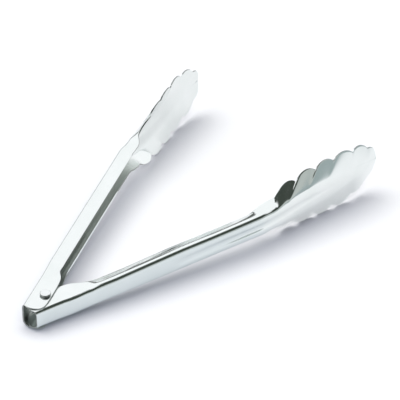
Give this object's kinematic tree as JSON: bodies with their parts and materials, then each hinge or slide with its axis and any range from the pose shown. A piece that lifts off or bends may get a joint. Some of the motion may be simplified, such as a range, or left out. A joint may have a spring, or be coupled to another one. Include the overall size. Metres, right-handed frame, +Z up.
{
  "type": "kitchen tongs",
  "caption": "Sprung kitchen tongs: stamped sheet steel arms with channel handles and scalloped, spoon-shaped jaws, joined at a riveted hinge.",
  "frame": {"origin": "centre of the lower rivet head's flat face, on the hinge axis", "axes": "+Z up along the hinge axis, +X from the hinge towards the jaws midway between the open arms, +Y towards the outer arm"},
  "size_m": [0.2924, 0.166, 0.0474],
  "materials": {
    "polished_steel": null,
    "rivet_steel": "bright steel",
    "spring_steel": "drawn spring wire"
  },
  "bodies": {
    "inner_body": {"inner_arm": "polished_steel", "pivot_rivet": "rivet_steel", "spacer_sleeve": "rivet_steel", "torsion_spring": "spring_steel"},
    "outer_body": {"outer_arm": "polished_steel"}
  },
  "joints": [
    {"name": "arm_hinge", "type": "hinge", "parent": "inner_body", "child": "outer_body", "pos_m": [0, 0, 0.0109], "axis": [0, 0, 1], "range_deg": [-32.5, 0], "stiffness_Nm_per_rad": 0.3, "springref_deg": 28.65, "deforming": ["torsion_spring"]}
  ]
}
